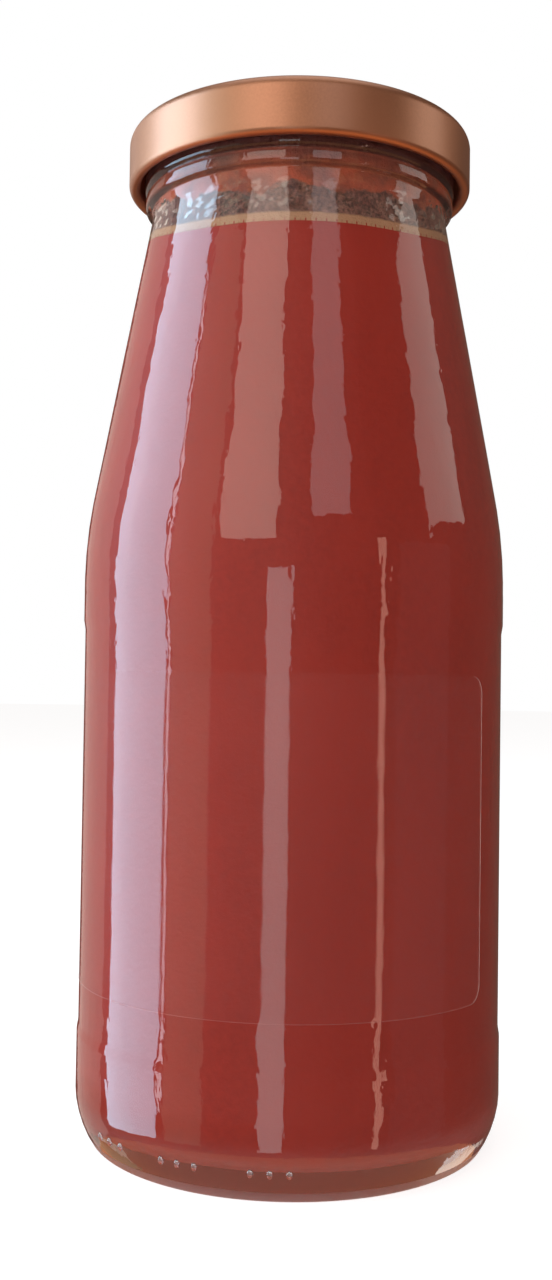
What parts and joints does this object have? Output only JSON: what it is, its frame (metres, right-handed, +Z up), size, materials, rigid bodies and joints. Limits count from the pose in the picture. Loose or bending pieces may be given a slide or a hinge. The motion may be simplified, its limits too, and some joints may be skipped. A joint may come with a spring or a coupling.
{
  "type": "bottle of tomato passata",
  "caption": "Round glass bottle filled with tomato passata, with a tapered neck, a gold twist-off metal lid and a clear film label with rounded corners.",
  "frame": {"origin": "centre of the circle that the bottle stands on, in the plane of that circle", "axes": "+Z up along the bottle's axis, -Y towards the front, +X to the right seen from the front, where the label's edges lie"},
  "size_m": [0.074, 0.074, 0.1758],
  "materials": {
    "clear_glass": "smooth, slightly wavy clear glass",
    "passata": "thick wet tomato sauce, fine pulp",
    "gold_lid": "gold lacquer on tinplate, satin",
    "clear_film": "clear film, satin"
  },
  "bodies": {
    "root": {"glass": "clear_glass", "passata": "passata", "lid": "gold_lid", "label_film": "clear_film"}
  },
  "joints": []
}
